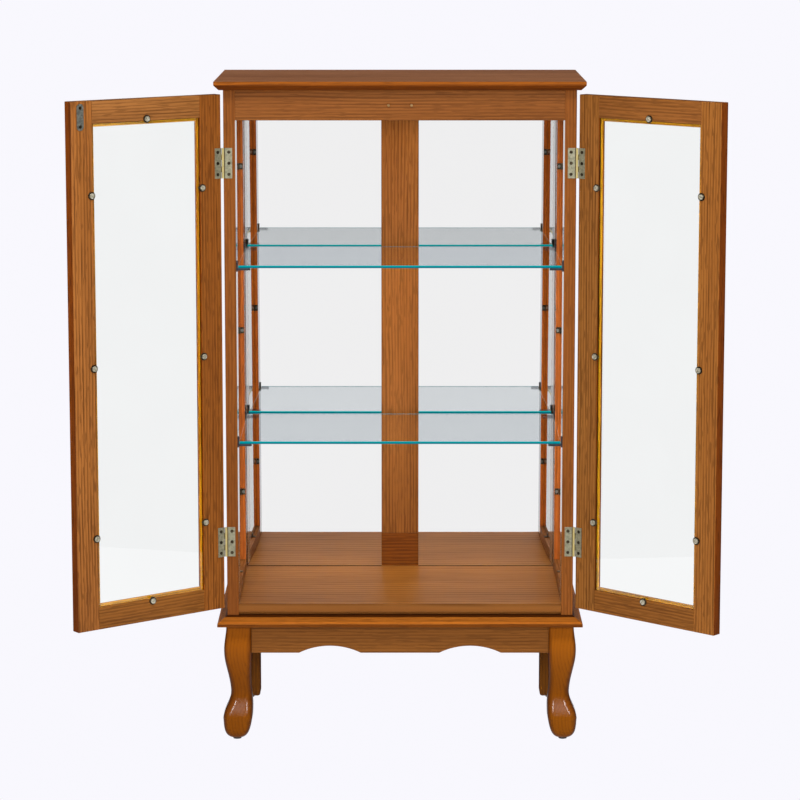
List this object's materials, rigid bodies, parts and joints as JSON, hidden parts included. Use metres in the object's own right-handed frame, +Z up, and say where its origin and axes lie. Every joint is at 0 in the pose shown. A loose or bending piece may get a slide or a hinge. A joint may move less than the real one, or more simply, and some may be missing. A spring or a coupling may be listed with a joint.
{
  "type": "curio cabinet",
  "caption": "Glazed wooden curio cabinet on short shaped legs, with hinged glass doors, glass shelves, glass sides and a mirrored back.",
  "frame": {"origin": "on the floor, under the middle of the carcass", "axes": "+Z up, front towards -Y, +X to the right as seen from the front"},
  "size_m": [0.9777, 0.4617, 1.0365],
  "materials": {
    "wood": "medium brown stained oak, satin lacquer",
    "glass": "clear float glass",
    "shelf_glass": "clear float glass with greenish edges",
    "mirror": "silvered glass",
    "brass": "dull antique brass",
    "steel": "dull nickel",
    "glide": "dark matte"
  },
  "bodies": {
    "carcass": {"top_board": "wood", "base_board": "wood", "floor_board": "wood", "face_top_rail": "wood", "front_post_left": "wood", "front_post_right": "wood", "rear_post_left": "wood", "rear_post_right": "wood", "side_top_rail_left": "wood", "side_top_rail_right": "wood", "side_bottom_rail_left": "wood", "side_bottom_rail_right": "wood", "back_stile_left": "wood", "back_stile_right": "wood", "back_centre_stile": "wood", "back_top_rail": "wood", "back_bottom_rail": "wood", "back_panel": "wood", "apron_front": "wood", "apron_left": "wood", "apron_right": "wood", "apron_rear": "wood", "front_leg_left": "wood", "front_leg_right": "wood", "rear_leg_left": "wood", "rear_leg_right": "wood", "side_glass_left": "glass", "side_glass_right": "glass", "shelf_upper": "shelf_glass", "shelf_lower": "shelf_glass", "mirror_left": "mirror", "mirror_right": "mirror", "side_glass_clips": "steel", "side_clip_screws": "steel", "shelf_supports": "steel", "leg_glides": "glide", "hinge_frame_leaves": "brass", "hinge_pins": "brass", "hinge_frame_screws": "brass", "catch_magnets": "steel"},
    "left_door": {"left_hinge_stile": "wood", "left_free_stile": "wood", "left_top_rail": "wood", "left_bottom_rail": "wood", "left_glass": "glass", "left_glass_clips": "steel", "left_clip_screws": "steel", "left_hinge_leaves": "brass", "left_hinge_screws": "brass", "left_strike_plate": "brass", "left_strike_screws": "brass"},
    "right_door": {"right_hinge_stile": "wood", "right_free_stile": "wood", "right_top_rail": "wood", "right_bottom_rail": "wood", "right_glass": "glass", "right_glass_clips": "steel", "right_clip_screws": "steel", "right_hinge_leaves": "brass", "right_hinge_screws": "brass"}
  },
  "joints": [
    {"name": "left_door_hinge", "type": "hinge", "parent": "carcass", "child": "left_door", "pos_m": [-0.2707, -0.142, 0.615], "axis": [0, 0, -1], "range_deg": [-142.3, 37.7]},
    {"name": "right_door_hinge", "type": "hinge", "parent": "carcass", "child": "right_door", "pos_m": [0.2707, -0.142, 0.615], "axis": [0, 0, 1], "range_deg": [-137.8, 42.2]}
  ]
}
